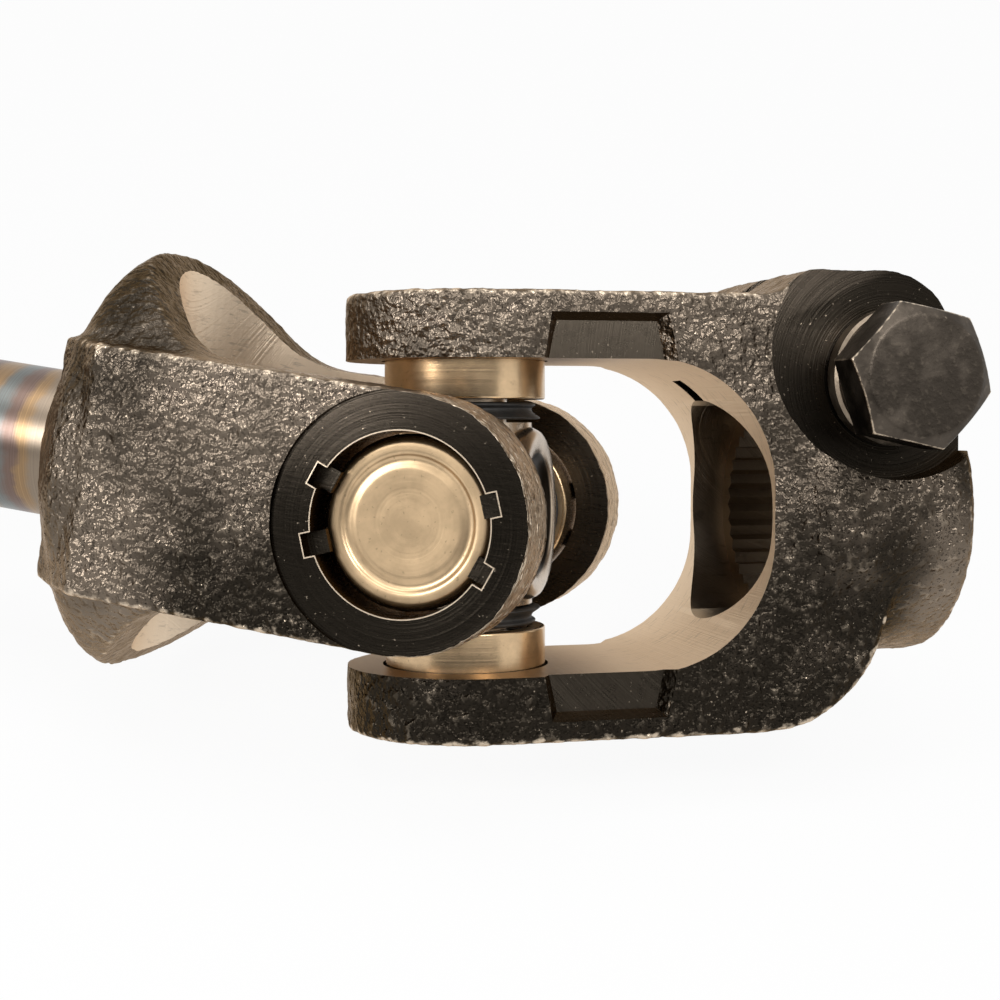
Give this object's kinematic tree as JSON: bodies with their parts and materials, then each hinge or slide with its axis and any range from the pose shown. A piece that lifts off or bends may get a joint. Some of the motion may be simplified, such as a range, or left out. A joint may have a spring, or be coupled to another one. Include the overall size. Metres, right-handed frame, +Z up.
{
  "type": "intermediate steering shaft",
  "caption": "Telescoping steering shaft with a cardan joint and a splined clamp yoke at each end, shown bent as it lies on a bench.",
  "frame": {"origin": "centre of the bounding box at the surface that the shaft lies on", "axes": "+X is the longest extent and runs along both clamp yokes' bores, from the column end to the gear end; +Z is up; the bend of the two joints lies level"},
  "size_m": [0.2548, 0.1372, 0.0504],
  "materials": {
    "forged_black": "black coating over coarse forged grain",
    "cup_steel": "ground bearing cup, warm grey",
    "bearing_steel": "ground needles",
    "cross_steel": "machined and ground forging",
    "seal_rubber": "black nitrile",
    "bolt_steel": "black oxide",
    "shaft_steel": "bare steel with heat tints",
    "tube_paint": "black coating",
    "cap_steel": "pressed and blackened"
  },
  "bodies": {
    "inner_shaft_body": {"inner_shaft": "shaft_steel", "gear_shaft_yoke": "forged_black", "gear_shaft_cup_a": "cup_steel", "gear_shaft_cup_b": "cup_steel", "gear_shaft_needles_a": "bearing_steel", "gear_shaft_needles_b": "bearing_steel", "gear_shaft_seal_a": "seal_rubber", "gear_shaft_seal_b": "seal_rubber"},
    "gear_cross_body": {"gear_cross": "cross_steel"},
    "gear_clamp_body": {"gear_clamp_yoke": "forged_black", "gear_pinch_bolt": "bolt_steel", "gear_lock_washer": "bolt_steel", "gear_clamp_cup_a": "cup_steel", "gear_clamp_cup_b": "cup_steel", "gear_clamp_needles_a": "bearing_steel", "gear_clamp_needles_b": "bearing_steel", "gear_clamp_seal_a": "seal_rubber", "gear_clamp_seal_b": "seal_rubber"},
    "outer_tube_body": {"outer_tube": "tube_paint", "seal_cap": "cap_steel", "dust_seal": "seal_rubber", "column_shaft_yoke": "forged_black", "column_shaft_cup_a": "cup_steel", "column_shaft_cup_b": "cup_steel", "column_shaft_needles_a": "bearing_steel", "column_shaft_needles_b": "bearing_steel", "column_shaft_seal_a": "seal_rubber", "column_shaft_seal_b": "seal_rubber"},
    "column_cross_body": {"column_cross": "cross_steel"},
    "column_clamp_body": {"column_clamp_yoke": "forged_black", "column_pinch_bolt": "bolt_steel", "column_lock_washer": "bolt_steel", "column_clamp_cup_a": "cup_steel", "column_clamp_cup_b": "cup_steel", "column_clamp_needles_a": "bearing_steel", "column_clamp_needles_b": "bearing_steel", "column_clamp_seal_a": "seal_rubber", "column_clamp_seal_b": "seal_rubber"}
  },
  "joints": [
    {"name": "gear_cross_swing", "type": "hinge", "parent": "inner_shaft_body", "child": "gear_cross_body", "pos_m": [0.07882, -0.04344, 0.02422], "axis": [-0.4633, -0.8405, 0.2809], "range_deg": [-38.8, 21.2]},
    {"name": "gear_clamp_swing", "type": "hinge", "parent": "gear_cross_body", "child": "gear_clamp_body", "pos_m": [0.07882, -0.04344, 0.02422], "axis": [0, 0.3169, 0.9485], "range_deg": [-57.6, 2.4]},
    {"name": "shaft_slide", "type": "slide", "parent": "inner_shaft_body", "child": "outer_tube_body", "axis": [-0.8758, 0.4827, 0], "range_m": [-0.024, 0.02]},
    {"name": "column_cross_swing", "type": "hinge", "parent": "outer_tube_body", "child": "column_cross_body", "pos_m": [-0.07882, 0.04344, 0.02422], "axis": [0.4633, 0.8405, 0.2809], "range_deg": [-38.8, 21.2]},
    {"name": "column_clamp_swing", "type": "hinge", "parent": "column_cross_body", "child": "column_clamp_body", "pos_m": [-0.07882, 0.04344, 0.02422], "axis": [0, -0.3169, 0.9485], "range_deg": [-57.6, 2.4]}
  ]
}
